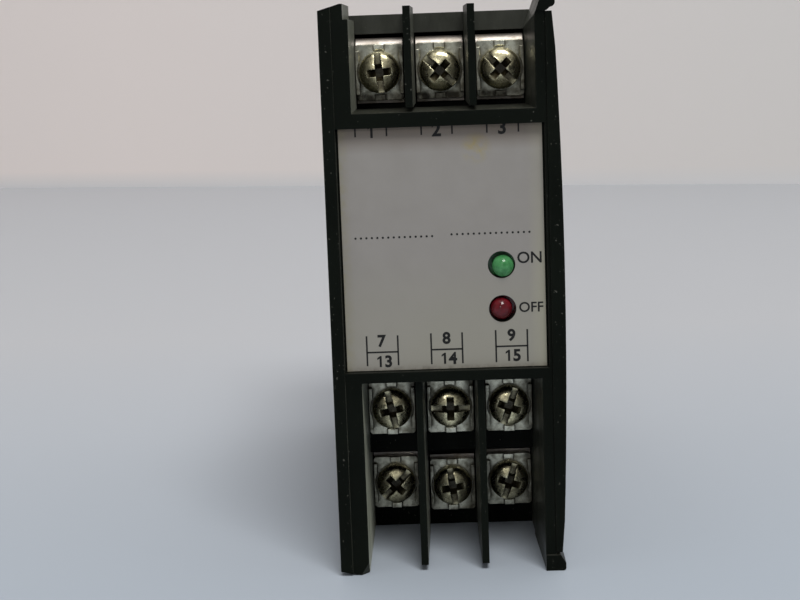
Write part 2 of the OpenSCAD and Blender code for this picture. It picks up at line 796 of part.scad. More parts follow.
module transformer_coil() {
    side = core_t / 2 + coil_room;
    color([0.5, 0.25, 0.08]) from_front() {
        difference() {
            block(-side - coil_over, side + coil_over, core_y - coil_hw, core_y + coil_hw,
                pcb_mid - coil_hl, pcb_mid + coil_hl);
            block(-side, side, core_y - core_w, core_y + core_w,
                pcb_mid - limb_w - coil_room, pcb_mid + limb_w + coil_room);
        }
        block(side + coil_over - tiny, pcb_x, core_y - coil_hw, core_y + coil_hw,
            pcb_mid - coil_hl, pcb_mid + coil_hl);
    }
}

module output_relay() {
    back = core_y - core_w / 2 - relay_gap;
    color([0.15, 0.2, 0.35]) from_front()
        block(pcb_x - relay_h, pcb_x, back - relay_l, back, pcb_mid, pcb_mid + relay_w);
}

module capacitor() {
    y = pcb_y + 11;
    z = pcb_mid - cap_d / 2 - 4;
    color([0.1, 0.1, 0.12]) from_front() union() {
        round_x(y, z, cap_d / 2, pcb_x - cap_l, pcb_x - 0.3);
        round_x(y, z, cap_d / 2 - 0.5, pcb_x - 0.5, pcb_x);
    }
}

module link(x, y, z0, z1) {
    r = link_d / 2;
    round_z(x, y, r, min(z0, z1), max(z0, z1));
    translate([x, y, z1]) sphere(r = r, $fn = 24);
    round_x(y, z1, r, x, pcb_x);
}

module link_wires() {
    color([0.7, 0.7, 0.68]) from_front() {
        for (i = [0:2]) {
            x = (i - 1) * pitch;
            y = tail_end + i * tail_stagger - 1.5;
            link(x, y, top_z + top_reach - strip_t, pcb_hi - 2.5);
            link(x, y, tier_z - strip_reach + strip_t, pcb_lo + 2.5);
            low = i == 1 ? low_14 : low_z;
            link(x, tail_y + i * tail_stagger - 1.5, low - strip_reach + strip_t, pcb_lo + 2.5);
        }
    }
}

// rail latch and its spring

module rail_latch() {
    top = rail_z - channel_h + latch_over;
    w = latch_w / 2;
    color([0.08, 0.085, 0.08]) from_front() difference() {
        side_slab(-w, w) polygon([
            [latch_y, latch_lo], [latch_y + latch_t, latch_lo], [latch_y + latch_t, top - nose_l],
            [latch_y + 0.8, top], [latch_y, top]
        ]);
        block(-window_w / 2, window_w / 2, latch_y - 1, latch_y + latch_t + 1,
            post_lo - post_room, post_lo - post_room + window_h);
        block(-grip_w / 2, grip_w / 2, latch_y + latch_t - grip_d, latch_y + latch_t + 1,
            latch_lo + grip_d * 2 / 3, latch_lo + grip_d * 5 / 3);
    }
}

module latch_spring() {
    turns = 6;
    per = 16;
    sides = 8;
    z0 = post_lo + post_h + wire_r;
    z1 = post_lo - post_room + window_h - wire_r;
    y0 = latch_y + latch_t / 2;
    n = turns * per;
    ring = [for (i = [0:n], j = [0:sides - 1])
        let (a = 360 * i / per, b = 360 * j / sides, rr = spring_r + wire_r * cos(b))
        [rr * cos(a), y0 + rr * sin(a), z0 + (z1 - z0) * i / n + wire_r * sin(b)]];
    skin = [for (i = [0:n - 1], j = [0:sides - 1])
        [i * sides + j, (i + 1) * sides + j, (i + 1) * sides + (j + 1) % sides, i * sides + (j + 1) % sides]];
    first = [for (j = [0:sides - 1]) j];
    last = [for (j = [sides - 1:-1:0]) n * sides + j];
    color([0.7, 0.7, 0.7]) from_front() polyhedron(points = ring, faces = concat(skin, [first, last]));
}

housing();
side_cover();
label_plate();
led_green();
led_red();
strip_1();
strip_2();
strip_3();
strip_7();
strip_8();
strip_9();
strip_13();
strip_14();
strip_15();
clamp_1();
clamp_2();
clamp_3();
clamp_7();
clamp_8();
clamp_9();
clamp_13();
clamp_14();
clamp_15();
screw_1();
screw_2();
screw_3();
screw_7();
screw_8();
screw_9();
screw_13();
screw_14();
screw_15();
pcb();
transformer_core();
transformer_coil();
output_relay();
capacitor();
link_wires();
rail_latch();
latch_spring();
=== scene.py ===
"""Looks of a rail-mounted protection relay: finishes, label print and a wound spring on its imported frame."""
import math

import bmesh
import bpy
from mathutils import Matrix, Vector


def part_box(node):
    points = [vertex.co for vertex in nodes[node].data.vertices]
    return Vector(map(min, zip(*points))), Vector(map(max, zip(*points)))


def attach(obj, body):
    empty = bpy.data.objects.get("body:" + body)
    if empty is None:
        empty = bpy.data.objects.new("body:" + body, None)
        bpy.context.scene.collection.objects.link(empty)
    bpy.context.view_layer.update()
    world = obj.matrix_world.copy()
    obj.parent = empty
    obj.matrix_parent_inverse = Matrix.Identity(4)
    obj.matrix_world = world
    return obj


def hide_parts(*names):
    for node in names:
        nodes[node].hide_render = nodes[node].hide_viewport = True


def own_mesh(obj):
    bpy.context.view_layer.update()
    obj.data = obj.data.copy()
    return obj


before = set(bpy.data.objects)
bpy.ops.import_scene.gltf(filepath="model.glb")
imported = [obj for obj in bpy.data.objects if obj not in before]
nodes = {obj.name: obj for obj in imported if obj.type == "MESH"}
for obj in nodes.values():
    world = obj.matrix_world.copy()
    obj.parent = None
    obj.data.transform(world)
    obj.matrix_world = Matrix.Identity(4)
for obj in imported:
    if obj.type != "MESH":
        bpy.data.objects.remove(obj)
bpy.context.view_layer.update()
scene = bpy.context.scene
scene.view_settings.view_transform = "Standard"

MM = 0.001

# pitch and numbers of the terminals
PITCH = 9.5 * MM
TERMINALS = ("1", "2", "3", "7", "8", "9", "13", "14", "15")

# camera, from the vanishing lines of the case
CAMERA_PLACE = Vector((-0.65, -293.37, 81.87)) * MM
CAMERA_YAW = math.radians(-1.54)
CAMERA_PITCH = math.radians(9.1)
CAMERA_ROLL = math.radians(-2.09)
CAMERA_LENS = 72.9

# room round the relay
FLOOR_HALF = 4.0
WALL_Y = 0.62
WALL_SLANT = 0.32
WALL_HIGH = 1.2
FLOOR_NEAR = (0.414, 0.467, 0.535)
FLOOR_FAR = (0.503, 0.519, 0.552)
WALL_NEAR = (0.728, 0.71, 0.70)
WALL_FAR = (0.85, 0.785, 0.765)
WALL_FOOT = (0.70, 0.70, 0.715)
WALL_FOOT_HIGH = 0.01
FLOOR_TURN_Y = (-0.06, 0.16)
WALL_TURN_Y = (0.55, 0.68)
FLOOR_SHADE = 0.98
WALL_SHADE = 0.98
SHADE_X = (0.0, 0.04)
WORLD_COLOUR = (0.29, 0.29, 0.288)

# where the lights look
AIM = Vector((0.0, 0.0, 0.05))

# window light, high in front and a little to the right
KEY_TURN = math.radians(17)
KEY_RISE = math.radians(57)
KEY_FAR = 2.5
KEY_SIZE = 1.0
KEY_POWER = 43.0
KEY_COLOUR = (1.0, 0.985, 0.96)

# wide ceiling light
CEILING_PLACE = (0.0, 0.05, 2.0)
CEILING_SIZE = 1.6
CEILING_POWER = 5.8

# small lamp behind the camera, which sparkles on the screws
LAMP_PLACE = (-0.16, -0.95, 0.36)
LAMP_SIZE = 0.10
LAMP_POWER = 0.6

# places on the mouldings where dust, wear and the painted sheen on the bays' inner walls begin, and where they
# are full
TOP_BAY_Z = (69.6 * MM, 70.5 * MM)
LOW_BAY_Z = (31.0 * MM, 30.0 * MM)
INSIDE_X = (13.5 * MM, 13.0 * MM)
LEFT_WALL_X = (-9.0 * MM, -12.0 * MM)
LOWER_HALF_Z = (60.0 * MM, 40.0 * MM)
ROOF_Z = (80.5 * MM, 82.0 * MM)
ROOF_Y = (-33.6 * MM, -33.2 * MM)

# places of the painted shade on the washers, across from the middle of a cell, where it begins and where it is
# full
WASHER_RIGHT_X = (2.0 * MM, 3.1 * MM)
WASHER_LEFT_X = (-2.6 * MM, -3.3 * MM)
WASHER_LOW_Z = (74.4 * MM, 73.4 * MM)
WASHER_FOOT_Z = (70.5 * MM, 71.0 * MM)

# the label's yellowed spot, its tinted lower part, its grimy foot and side margins, and the painted shade
# along its top
STAIN_X = 4.9 * MM
STAIN_Z = 65.6 * MM
STAIN_REACH = (0.6 * MM, 2.6 * MM)
TINT_Z = (50.0 * MM, 36.0 * MM)
LABEL_TOP_PAINTED_SHADE = (4.5 * MM, 0.8 * MM)
FOOT_GRIME = 0.7 * MM
LEFT_GRIME = 1.6 * MM
RIGHT_GRIME = 2.5 * MM

# depth of the metal's dents as a share of a patch, and dents to each patch
DENT_STEEP = 0.05
DENTS_PER_PATCH = 1.7


def make_camera():
    """The photograph's viewpoint."""
    forward = Vector((
        math.sin(CAMERA_YAW) * math.cos(CAMERA_PITCH),
        math.cos(CAMERA_YAW) * math.cos(CAMERA_PITCH),
        -math.sin(CAMERA_PITCH),
    ))
    level = Vector((math.cos(CAMERA_YAW), -math.sin(CAMERA_YAW), 0.0))
    upright = level.cross(forward)
    right = math.cos(CAMERA_ROLL) * level + math.sin(CAMERA_ROLL) * upright
    up = math.cos(CAMERA_ROLL) * upright - math.sin(CAMERA_ROLL) * level
    data = bpy.data.cameras.new("camera")
    data.lens = CAMERA_LENS
    data.clip_start = 0.01
    camera = bpy.data.objects.new("camera", data)
    turn = Matrix((right, up, -forward)).transposed().to_4x4()
    camera.matrix_world = Matrix.Translation(CAMERA_PLACE) @ turn
    scene.collection.objects.link(camera)
    scene.camera = camera


def area_light(name, place, aim, size, power, colour):
    """A square soft light at place that looks at aim."""
    data = bpy.data.lights.new(name, "AREA")
    data.size = size
    data.energy = power
    data.color = colour
    light = bpy.data.objects.new(name, data)
    light.location = place
    light.rotation_mode = "QUATERNION"
    light.rotation_quaternion = (Vector(aim) - Vector(place)).to_track_quat("-Z", "Y")
    scene.collection.objects.link(light)


class Finish:
    """A material: a Principled surface and short calls for the nodes that feed it."""

    def __init__(self, name, constants):
        self.material = bpy.data.materials.new(name)
        self.material.use_nodes = True
        self.nodes = self.material.node_tree.nodes
        self.surface = self.nodes["Principled BSDF"]
        self.place = self.nodes.new("ShaderNodeTexCoord").outputs["Object"]
        self.geometry = self.nodes.new("ShaderNodeNewGeometry")
        for socket, value in constants.items():
            self.surface.inputs[socket].default_value = value

    def link(self, source, target):
        self.material.node_tree.links.new(source, target)

    def feed(self, socket, source):
        self.link(source, self.surface.inputs[socket])

    def noise(self, scale, detail=3.0, rough=0.5, stretch=(1.0, 1.0, 1.0)):
        """Cloudy noise with about scale features in a metre."""
        mapping = self.nodes.new("ShaderNodeMapping")
        mapping.inputs["Scale"].default_value = stretch
        self.link(self.place, mapping.inputs["Vector"])
        node = self.nodes.new("ShaderNodeTexNoise")
        node.inputs["Scale"].default_value = scale
        node.inputs["Detail"].default_value = detail
        node.inputs["Roughness"].default_value = rough
        self.link(mapping.outputs["Vector"], node.inputs["Vector"])
        return node.outputs["Fac"]

    def bands(self, scale, direction, distortion=0.0):
        """Straight bands across the axis named by direction."""
        node = self.nodes.new("ShaderNodeTexWave")
        node.bands_direction = direction
        node.inputs["Scale"].default_value = scale
        node.inputs["Distortion"].default_value = distortion
        self.link(self.place, node.inputs["Vector"])
        return node.outputs["Fac"]

    def spread(self, source, low, high, first, last):
        """Source from low to high becomes first to last, held at both ends."""
        node = self.nodes.new("ShaderNodeMapRange")
        for index, value in enumerate((low, high, first, last)):
            node.inputs[index + 1].default_value = value
        self.link(source, node.inputs[0])
        return node.outputs[0]

    def combine(self, operation, first, second):
        node = self.nodes.new("ShaderNodeMath")
        node.operation = operation
        self.link(first, node.inputs[0])
        self.link(second, node.inputs[1])
        return node.outputs[0]

    def times(self, first, second):
        return self.combine("MULTIPLY", first, second)

    def most(self, first, second):
        return self.combine("MAXIMUM", first, second)

    def blend(self, share, first, second):
        """Two colours mixed by share. Each is a colour or the output of a node."""
        node = self.nodes.new("ShaderNodeMix")
        node.data_type = "RGBA"
        self.link(share, node.inputs["Factor"])
        for value, target in ((first, node.inputs[6]), (second, node.inputs[7])):
            if isinstance(value, tuple):
                target.default_value = (*value, 1.0)
            else:
                self.link(value, target)
        return node.outputs[2]

    def along(self, source, axis):
        """The share of a place or a direction along one axis."""
        node = self.nodes.new("ShaderNodeSeparateXYZ")
        self.link(source, node.inputs[0])
        return node.outputs[axis]

    def facing(self, axis, low, high):
        """1 where the surface looks along an axis, 0 where it looks away."""
        return self.spread(self.along(self.geometry.outputs["Normal"], axis), low, high, 0.0, 1.0)

    def ramp(self, axis, none, full):
        """0 at the place none on an axis of the part, 1 at the place full."""
        return self.spread(self.along(self.place, axis), none, full, 0.0, 1.0)

    def in_cell(self):
        """Distance to the right of the middle of a terminal's cell."""
        node = self.nodes.new("ShaderNodeMath")
        node.operation = "WRAP"
        node.inputs[1].default_value = PITCH / 2
        node.inputs[2].default_value = -PITCH / 2
        self.link(self.along(self.place, "X"), node.inputs[0])
        return node.outputs[0]

    def hollow(self, reach, low, high):
        """1 in corners and recesses, 0 in the open."""
        node = self.nodes.new("ShaderNodeAmbientOcclusion")
        node.samples = 8
        node.only_local = True
        node.inputs["Distance"].default_value = reach
        return self.spread(node.outputs["AO"], low, high, 1.0, 0.0)

    def near(self, point, inner, outer):
        """1 close to a point of the part, 0 from outer on."""
        node = self.nodes.new("ShaderNodeVectorMath")
        node.operation = "DISTANCE"
        node.inputs[1].default_value = point
        self.link(self.place, node.inputs[0])
        return self.spread(node.outputs["Value"], inner, outer, 1.0, 0.0)

    def edges(self, radius, low, high):
        """1 along sharp edges, 0 on flats."""
        dot = self.nodes.new("ShaderNodeVectorMath")
        dot.operation = "DOT_PRODUCT"
        self.link(self.round_edges(radius), dot.inputs[0])
        self.link(self.geometry.outputs["True Normal"], dot.inputs[1])
        return self.spread(dot.outputs["Value"], high, low, 0.0, 1.0)

    def round_edges(self, radius):
        """Shading normals that run round sharp edges."""
        bevel = self.nodes.new("ShaderNodeBevel")
        bevel.samples = 6
        bevel.inputs["Radius"].default_value = radius
        return bevel.outputs["Normal"]

    def bump(self, layers, normal=None):
        """Layers of height, each with its strength and depth, one over the other."""
        for height, strength, depth in layers:
            node = self.nodes.new("ShaderNodeBump")
            node.inputs["Strength"].default_value = strength
            node.inputs["Distance"].default_value = depth
            self.link(height, node.inputs["Height"])
            if normal:
                self.link(normal, node.inputs["Normal"])
            normal = node.outputs["Normal"]
        self.feed("Normal", normal)


def moulded_plastic(name, colour, dusty):
    """Satin black moulding: fine grain, hand marks, rubbed edges, dust on what looks up, and pale streaks on
    the inner bay walls that face right, partly dust and partly a painted sheen.
    """
    finish = Finish(name, {
        "Specular IOR Level": 0.045,
        "Sheen Roughness": 0.35,
        "Sheen Tint": (0.95, 1.0, 0.82, 1.0),
    })
    cloud = finish.noise(70, detail=5, rough=0.6)
    grain = finish.noise(7000, detail=2)
    marks = finish.noise(260, detail=6, rough=0.7, stretch=(1.0, 0.35, 0.35))
    paler = tuple(c * 1.5 for c in colour)
    base = finish.blend(finish.spread(cloud, 0.35, 0.7, 0.0, 1.0), colour, paler)
    rubbed = finish.times(finish.edges(0.35 * MM, 0.72, 0.97), finish.spread(marks, 0.35, 0.65, 0.0, 0.6))
    base = finish.blend(rubbed, base, (0.022, 0.023, 0.019))
    bays = finish.most(finish.ramp("Z", *TOP_BAY_Z), finish.ramp("Z", *LOW_BAY_Z))
    level = finish.times(bays, finish.facing("Z", 0.55, 0.95))
    base = finish.blend(finish.times(level, finish.spread(marks, 0.3, 0.7, 0.15, 0.75)), base, dusty)
    # painted sheen, partly dust: the inner bay walls that face right, towards the light, get a pale streaked
    # colour, strongest on the left wall and low down
    streaks = finish.noise(700, detail=4, rough=0.6, stretch=(1.0, 1.0, 0.15))
    inner = finish.times(finish.facing("X", 0.6, 0.95), finish.ramp("X", *INSIDE_X))
    inner = finish.times(inner, finish.spread(finish.ramp("X", *LEFT_WALL_X), 0.0, 1.0, 0.1, 1.0))
    inner = finish.times(inner, finish.spread(finish.ramp("Z", *LOWER_HALF_Z), 0.0, 1.0, 0.4, 1.0))
    inner = finish.times(bays, finish.times(inner, finish.spread(streaks, 0.3, 0.7, 0.35, 1.0)))
    base = finish.blend(inner, base, (0.145, 0.15, 0.116))
    roof = finish.times(finish.ramp("Z", *ROOF_Z), finish.ramp("Y", *ROOF_Y))
    roof = finish.times(roof, finish.most(finish.facing("Z", 0.3, 0.6), finish.facing("Y", -0.3, -0.6)))
    roof = finish.times(roof, finish.spread(marks, 0.3, 0.7, 0.5, 1.0))
    base = finish.blend(roof, base, (0.06, 0.062, 0.053))
    specks = finish.noise(2300, detail=1)
    base = finish.blend(finish.spread(specks, 0.73, 0.78, 0.0, 0.7), base, (0.10, 0.10, 0.085))
    finish.feed("Base Color", base)
    finish.feed("Sheen Weight", finish.spread(inner, 0.0, 1.0, 0.03, 0.2))
    finish.feed("Roughness", finish.spread(marks, 0.3, 0.7, 0.26, 0.5))
    finish.bump([(grain, 0.25, 0.02 * MM), (cloud, 0.06, 0.25 * MM)], finish.round_edges(0.18 * MM))
    return finish.material


def printed_foil(name, low, high, stain_place):
    """Matt silver-grey foil from low to high, faintly mottled, with one yellowed spot, grimy foot and side
    margins, and painted brownish shade along its top.
    """
    finish = Finish(name, {"Metallic": 0.25, "Specular IOR Level": 0.3})
    mottle = finish.noise(240, detail=4, rough=0.6)
    patch = finish.noise(34, detail=3)
    tooth = finish.noise(5200, detail=2)
    cloud = finish.spread(mottle, 0.3, 0.7, 0.0, 1.0)
    grey = finish.blend(cloud, (0.300, 0.281, 0.260), (0.328, 0.309, 0.290))
    base = finish.blend(finish.spread(patch, 0.35, 0.7, 0.0, 0.6), grey, (0.289, 0.272, 0.255))
    lower = finish.times(finish.ramp("Z", *TINT_Z), finish.spread(patch, 0.3, 0.7, 0.3, 0.9))
    base = finish.blend(lower, base, (0.318, 0.306, 0.252))
    spot = finish.near(stain_place, *STAIN_REACH)
    stain = finish.times(spot, finish.spread(mottle, 0.42, 0.56, 0.0, 0.85))
    base = finish.blend(stain, base, (0.36, 0.29, 0.10))
    rub = finish.noise(900, detail=4, rough=0.65)
    # painted shade: the top of the label, under the bezel, is darkened in brownish patches
    painted_top_shade = finish.ramp("Z", high.z - LABEL_TOP_PAINTED_SHADE[0], high.z - LABEL_TOP_PAINTED_SHADE[1])
    painted_top_shade = finish.times(painted_top_shade, finish.spread(patch, 0.2, 0.6, 0.5, 0.8))
    base = finish.blend(painted_top_shade, base, (0.15, 0.10, 0.06))
    foot = finish.times(finish.ramp("Z", low.z + FOOT_GRIME, low.z), finish.spread(rub, 0.4, 0.65, 0.0, 0.6))
    base = finish.blend(foot, base, (0.10, 0.09, 0.07))
    left = finish.times(finish.ramp("X", low.x + LEFT_GRIME, low.x), finish.spread(rub, 0.35, 0.7, 0.1, 0.6))
    right = finish.ramp("X", high.x - RIGHT_GRIME, high.x)
    right = finish.times(right, finish.spread(patch, 0.3, 0.65, 0.1, 0.6))
    base = finish.blend(left, base, (0.30, 0.27, 0.16))
    base = finish.blend(right, base, (0.43, 0.415, 0.30))
    finish.feed("Base Color", base)
    finish.feed("Roughness", finish.spread(mottle, 0.3, 0.7, 0.46, 0.6))
    finish.bump([(tooth, 0.12, 0.01 * MM), (patch, 0.1, 0.3 * MM)])
    return finish.material


def washer_painted_shade(finish):
    """Painted shade on the clamp washers, in patches: at their sides, most on the right where the fins keep
    the light off, and darker below the screws of the top row.
    """
    across = finish.in_cell()
    right = finish.spread(across, *WASHER_RIGHT_X, 0.0, 0.8)
    left = finish.spread(across, *WASHER_LEFT_X, 0.0, 0.4)
    below = finish.times(finish.ramp("Z", *WASHER_LOW_Z), finish.ramp("Z", *WASHER_FOOT_Z))
    patches = finish.spread(finish.noise(900, detail=4), 0.3, 0.6, 0.5, 1.0)
    return finish.times(patches, finish.most(below, finish.most(left, right)))


def plated_metal(name, colour, grime, smooth, rough, wear=420, painted_shade_mask=None):
    """Worn plating: cloudy shine, grime in patches and recesses, bright rims and small dents, and painted
    shade where a mask for it is given.

    Wear is about how many patches there are in a metre.
    """
    finish = Finish(name, {"Specular IOR Level": 0.3})
    patches = finish.noise(wear, detail=6, rough=0.65)
    dents = finish.noise(DENTS_PER_PATCH * wear, detail=3)
    rub = finish.noise(2600, detail=3, stretch=(1.0, 1.0, 0.25))
    worn = finish.blend(finish.spread(patches, 0.46, 0.7, 0.0, 0.8), colour, grime)
    bright = tuple(min(1.0, 1.5 * c) for c in colour)
    rims = finish.times(finish.edges(0.14 * MM, 0.75, 0.98), finish.spread(dents, 0.35, 0.6, 0.2, 1.0))
    shine = finish.blend(rims, worn, bright)
    recess = finish.hollow(2.4 * MM, 0.5, 0.94)
    # a given mask adds painted shade, in the same dark colour as the grime in the recesses
    if painted_shade_mask:
        recess = finish.most(recess, painted_shade_mask(finish))
    finish.feed("Base Color", finish.blend(recess, shine, (0.036, 0.029, 0.014)))
    dull = finish.most(recess, finish.spread(rims, 0.0, 1.0, 0.0, 0.7))
    finish.feed("Metallic", finish.spread(dull, 0.0, 1.0, 1.0, 0.15))
    finish.feed("Roughness", finish.spread(patches, 0.35, 0.7, smooth, rough))
    finish.bump([(dents, 0.55, DENT_STEEP / wear), (rub, 0.15, 0.01 * MM)])
    return finish.material


def lamp_lens(name, deep, pale):
    """Tinted diffusing lens, paler where the light gathers, with a clear skin."""
    finish = Finish(name, {
        "Roughness": 0.12,
        "Specular IOR Level": 0.3,
        "Coat Weight": 0.15,
        "Coat Roughness": 0.05,
        "Subsurface Weight": 0.25,
        "Subsurface Scale": 0.6 * MM,
        "Subsurface Radius": (1.0, 1.0, 1.0),
        "Transmission Weight": 0.25,
    })
    swirl = finish.noise(900, detail=3)
    finish.feed("Base Color", finish.blend(finish.spread(swirl, 0.35, 0.7, 0.0, 1.0), deep, pale))
    finish.bump([(swirl, 0.08, 0.05 * MM)])
    return finish.material


def printing_ink(name):
    """Black screen print, a little worn."""
    finish = Finish(name, {"Specular IOR Level": 0.3})
    wear = finish.noise(1800, detail=4)
    faded = finish.spread(wear, 0.58, 0.8, 0.0, 0.5)
    finish.feed("Base Color", finish.blend(faded, (0.005, 0.005, 0.005), (0.05, 0.05, 0.05)))
    finish.feed("Roughness", finish.spread(wear, 0.3, 0.7, 0.45, 0.65))
    return finish.material


def varnished_board(name):
    """Green solder mask with paler tracks under it."""
    finish = Finish(name, {"Specular IOR Level": 0.5})
    tracks = finish.bands(260, "Z", 6.0)
    cloud = finish.noise(300)
    base = finish.blend(finish.spread(tracks, 0.55, 0.6, 0.0, 1.0), (0.018, 0.10, 0.035), (0.035, 0.17, 0.06))
    finish.feed("Base Color", base)
    finish.feed("Roughness", finish.spread(cloud, 0.3, 0.7, 0.2, 0.4))
    finish.bump([(tracks, 0.2, 0.03 * MM)])
    return finish.material


def stacked_core(name):
    """Steel laminations, edge on, with a little rust."""
    finish = Finish(name, {"Metallic": 0.8})
    sheets = finish.bands(650, "X", 0.4)
    rust = finish.noise(350, detail=5)
    base = finish.blend(finish.spread(rust, 0.5, 0.75, 0.0, 0.8), (0.22, 0.22, 0.22), (0.16, 0.09, 0.05))
    finish.feed("Base Color", base)
    finish.feed("Roughness", finish.spread(rust, 0.3, 0.7, 0.35, 0.65))
    finish.bump([(sheets, 0.5, 0.08 * MM)])
    return finish.material


def taped_coil(name):
    """Winding under amber tape, with its laps."""
    finish = Finish(name, {"Specular IOR Level": 0.45})
    laps = finish.bands(170, "Z", 1.2)
    cloud = finish.noise(500)
    base = finish.blend(finish.spread(laps, 0.2, 0.8, 0.0, 1.0), (0.24, 0.09, 0.02), (0.36, 0.16, 0.05))
    finish.feed("Base Color", base)
    finish.feed("Roughness", finish.spread(cloud, 0.3, 0.7, 0.3, 0.5))
    finish.bump([(laps, 0.4, 0.1 * MM)])
    return finish.material


def sleeved(name, dark, light):
    """Smooth moulded or shrunk sleeve with faint handling marks."""
    finish = Finish(name, {"Specular IOR Level": 0.5})
    marks = finish.noise(420, detail=5)
    finish.feed("Base Color", finish.blend(finish.spread(marks, 0.35, 0.7, 0.0, 1.0), dark, light))
    finish.feed("Roughness", finish.spread(marks, 0.3, 0.7, 0.2, 0.42))
    finish.bump([(marks, 0.1, 0.05 * MM)])
    return finish.material


def plain_surface(name, near, far, turn, shade, foot=None):
    """A pale staged surface, one colour close by and another farther off, dimmed by shade on the right.

    A wall runs softly into the colour of its foot.
    """
    finish = Finish(name, {"Specular IOR Level": 0.2, "Roughness": 0.6})
    away = finish.ramp("Y", *turn)
    lit = finish.blend(away, near, far)
    dim = finish.blend(away, tuple(c * shade for c in near), tuple(c * shade for c in far))
    base = finish.blend(finish.ramp("X", *SHADE_X), lit, dim)
    if foot:
        base = finish.blend(finish.ramp("Z", WALL_FOOT_HIGH, 0.0), base, foot)
    finish.feed("Base Color", base)
    return finish.material


def dress(names, material):
    """Gives CAD nodes one material."""
    for name in names:
        data = nodes[name].data
        data.materials.clear()
        data.materials.append(material)


# softened edges of the small nodes
LATCH_ROUND = 0.15 * MM
SCREW_ROUND = 0.10 * MM
CLAMP_ROUND = 0.10 * MM
STRIP_ROUND = 0.08 * MM
ROUND_STEPS = 2
WELD_NEAR = 0.002 * MM
FLAT_ANGLE = math.radians(0.6)
SHARP_ANGLE = math.radians(32)


def soften(names, radius):
    """Rounds CAD nodes' sharp edges by radius, as moulding and tumbling leave them."""
    for name in names:
        obj = nodes[name]
        weld = obj.modifiers.new("weld", "WELD")
        weld.merge_threshold = WELD_NEAR
        flat = obj.modifiers.new("flat", "DECIMATE")
        flat.decimate_type = "DISSOLVE"
        flat.angle_limit = FLAT_ANGLE
        bevel = obj.modifiers.new("round", "BEVEL")
        bevel.width = radius
        bevel.segments = ROUND_STEPS
        bevel.limit_method = "ANGLE"
        bevel.angle_limit = SHARP_ANGLE
        bevel.use_clamp_overlap = True
        normals = obj.modifiers.new("normals", "WEIGHTED_NORMAL")
        normals.weight = 100


def add_piece(name, mesh, material, body):
    """A new piece of the relay that rides on a body."""
    mesh.materials.clear()
    mesh.materials.append(material)
    obj = bpy.data.objects.new(name, mesh)
    scene.collection.objects.link(obj)
    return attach(obj, body)


def stage_quad(name, corners, material):
    """A staged flat surface through four corners."""
    mesh = bpy.data.meshes.new(name)
    mesh.from_pydata(corners, [], [(0, 1, 2, 3)])
    mesh.materials.append(material)
    obj = bpy.data.objects.new(name, mesh)
    scene.collection.objects.link(obj)


def make_room():
    """Pale floor, pale wall behind, dim room in front and soft light from above."""
    floor = plain_surface("floor", FLOOR_NEAR, FLOOR_FAR, FLOOR_TURN_Y, FLOOR_SHADE)
    wall = plain_surface("wall", WALL_NEAR, WALL_FAR, WALL_TURN_Y, WALL_SHADE, WALL_FOOT)
    h = FLOOR_HALF
    left = WALL_Y + WALL_SLANT * h
    right = WALL_Y - WALL_SLANT * h
    stage_quad("floor", [(-h, -h, 0), (h, -h, 0), (h, right, 0), (-h, left, 0)], floor)
    stage_quad("wall", [(-h, left, 0), (h, right, 0), (h, right, WALL_HIGH), (-h, left, WALL_HIGH)], wall)
    world = bpy.data.worlds.new("room")
    world.use_nodes = True
    world.node_tree.nodes["Background"].inputs["Color"].default_value = (*WORLD_COLOUR, 1.0)
    scene.world = world
    toward = Vector((
        math.cos(KEY_RISE) * math.sin(KEY_TURN),
        -math.cos(KEY_RISE) * math.cos(KEY_TURN),
        math.sin(KEY_RISE),
    ))
    area_light("window", AIM + toward * KEY_FAR, AIM, KEY_SIZE, KEY_POWER, KEY_COLOUR)
    area_light("ceiling", CEILING_PLACE, AIM, CEILING_SIZE, CEILING_POWER, KEY_COLOUR)
    area_light("lamp", LAMP_PLACE, AIM, LAMP_SIZE, LAMP_POWER, KEY_COLOUR)


# thickness of the ink, width of its lines, sides of a dot and the size at which letters are set
INK_T = 0.02 * MM
LINE_W = 0.25 * MM
DOT_SIDES = 12
TYPE_SIZE = 10.0


